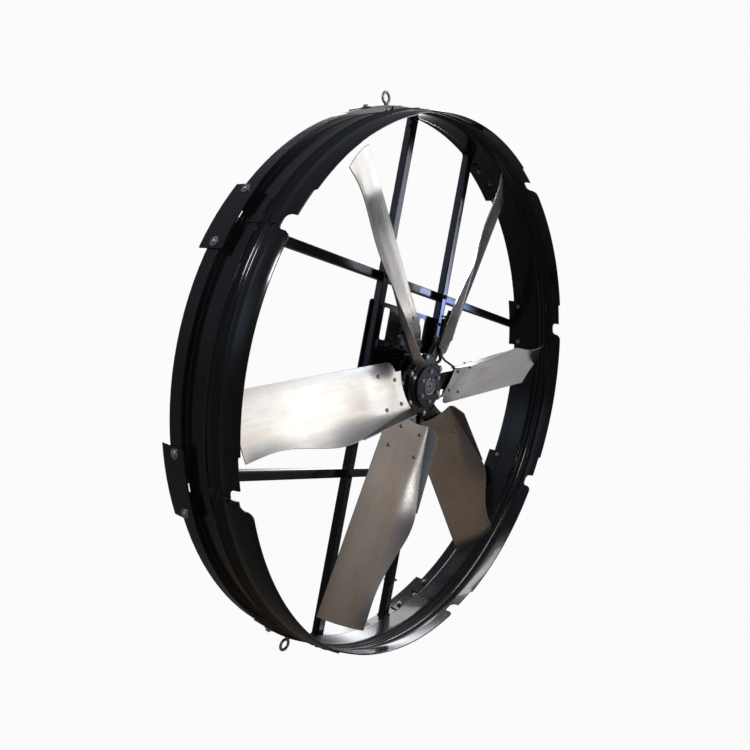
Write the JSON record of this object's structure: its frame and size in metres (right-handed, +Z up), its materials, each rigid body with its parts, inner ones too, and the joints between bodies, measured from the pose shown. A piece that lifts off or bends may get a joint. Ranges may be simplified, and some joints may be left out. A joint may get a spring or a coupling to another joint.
{
  "type": "air circulation fan",
  "caption": "Large axial air circulation fan: segmented glossy shroud ring on a steel hoop, cross-bar frame, direct-drive motor, cast hub and wide formed aluminium blades.",
  "frame": {"origin": "centre of the fan's overall box, which lies on the rotor axis", "axes": "+Y along the rotor axis from the outlet side to the rear, +Z up as hung, +X to the right as seen from the outlet side"},
  "size_m": [1.932, 0.321, 1.932],
  "materials": {
    "moulded_shroud": "glossy moulded",
    "black_steel": "glossy powder coat",
    "zinc_hardware": "zinc plated",
    "black_hardware": "black oxide",
    "motor_paint": "satin black",
    "lamination_steel": "stacked sheet",
    "copper_winding": "enamelled",
    "magnet": "nickel plated",
    "bearing_steel": "ground",
    "seal_rubber": "matt",
    "box_plastic": "matt",
    "cable_jacket": "matt",
    "hub_casting": "painted casting",
    "hub_hardware": "zinc plated",
    "blade_aluminium": "brushed mill finish",
    "blade_hardware": "zinc plated"
  },
  "bodies": {
    "root": {"shroud_segment_1": "moulded_shroud", "shroud_segment_2": "moulded_shroud", "shroud_segment_3": "moulded_shroud", "shroud_segment_4": "moulded_shroud", "shroud_segment_5": "moulded_shroud", "shroud_segment_6": "moulded_shroud", "shroud_segment_7": "moulded_shroud", "shroud_segment_8": "moulded_shroud", "hoop_left_half": "black_steel", "hoop_right_half": "black_steel", "bar_end_plates": "black_steel", "eyebolt_plates": "black_steel", "splice_washers": "zinc_hardware", "splice_bolts": "zinc_hardware", "splice_nuts": "zinc_hardware", "eyebolts": "zinc_hardware", "eyebolt_nuts": "zinc_hardware", "left_post": "black_steel", "right_post": "black_steel", "upper_bar": "black_steel", "lower_bar": "black_steel", "motor_plate": "black_steel", "crossing_bolts": "black_hardware", "crossing_nuts": "black_hardware", "plate_bolts": "black_hardware", "plate_nuts": "black_hardware", "motor_housing": "motor_paint", "front_end_bell": "motor_paint", "bell_screws": "black_hardware", "rear_end_bell": "motor_paint", "rear_cap": "motor_paint", "motor_bolts": "black_hardware", "stator_core": "lamination_steel", "stator_coils": "copper_winding", "bearing_outer_rings": "bearing_steel", "shaft_seal": "seal_rubber", "junction_box": "box_plastic", "junction_box_lid": "box_plastic", "cable_gland": "box_plastic", "supply_cable": "cable_jacket"},
    "rotor": {"motor_shaft": "bearing_steel", "shaft_key": "bearing_steel", "rotor_core": "lamination_steel", "rotor_magnets": "magnet", "bearing_inner_rings": "bearing_steel", "bearing_balls": "bearing_steel", "hub_drum": "hub_casting", "hub_face_plate": "hub_casting", "hub_face_screws": "hub_hardware", "taper_bushing": "hub_hardware", "blade_spider": "hub_casting", "hub_flange_bolts": "hub_hardware", "blade_1": "blade_aluminium", "blade_2": "blade_aluminium", "blade_3": "blade_aluminium", "blade_4": "blade_aluminium", "blade_5": "blade_aluminium", "blade_6": "blade_aluminium", "blade_bolts": "blade_hardware", "blade_nuts": "blade_hardware"}
  },
  "joints": [
    {"name": "rotor_spin", "type": "hinge", "parent": "root", "child": "rotor", "pos_m": [0, 0, 0], "axis": [0, 1, 0], "continuous": true}
  ]
}
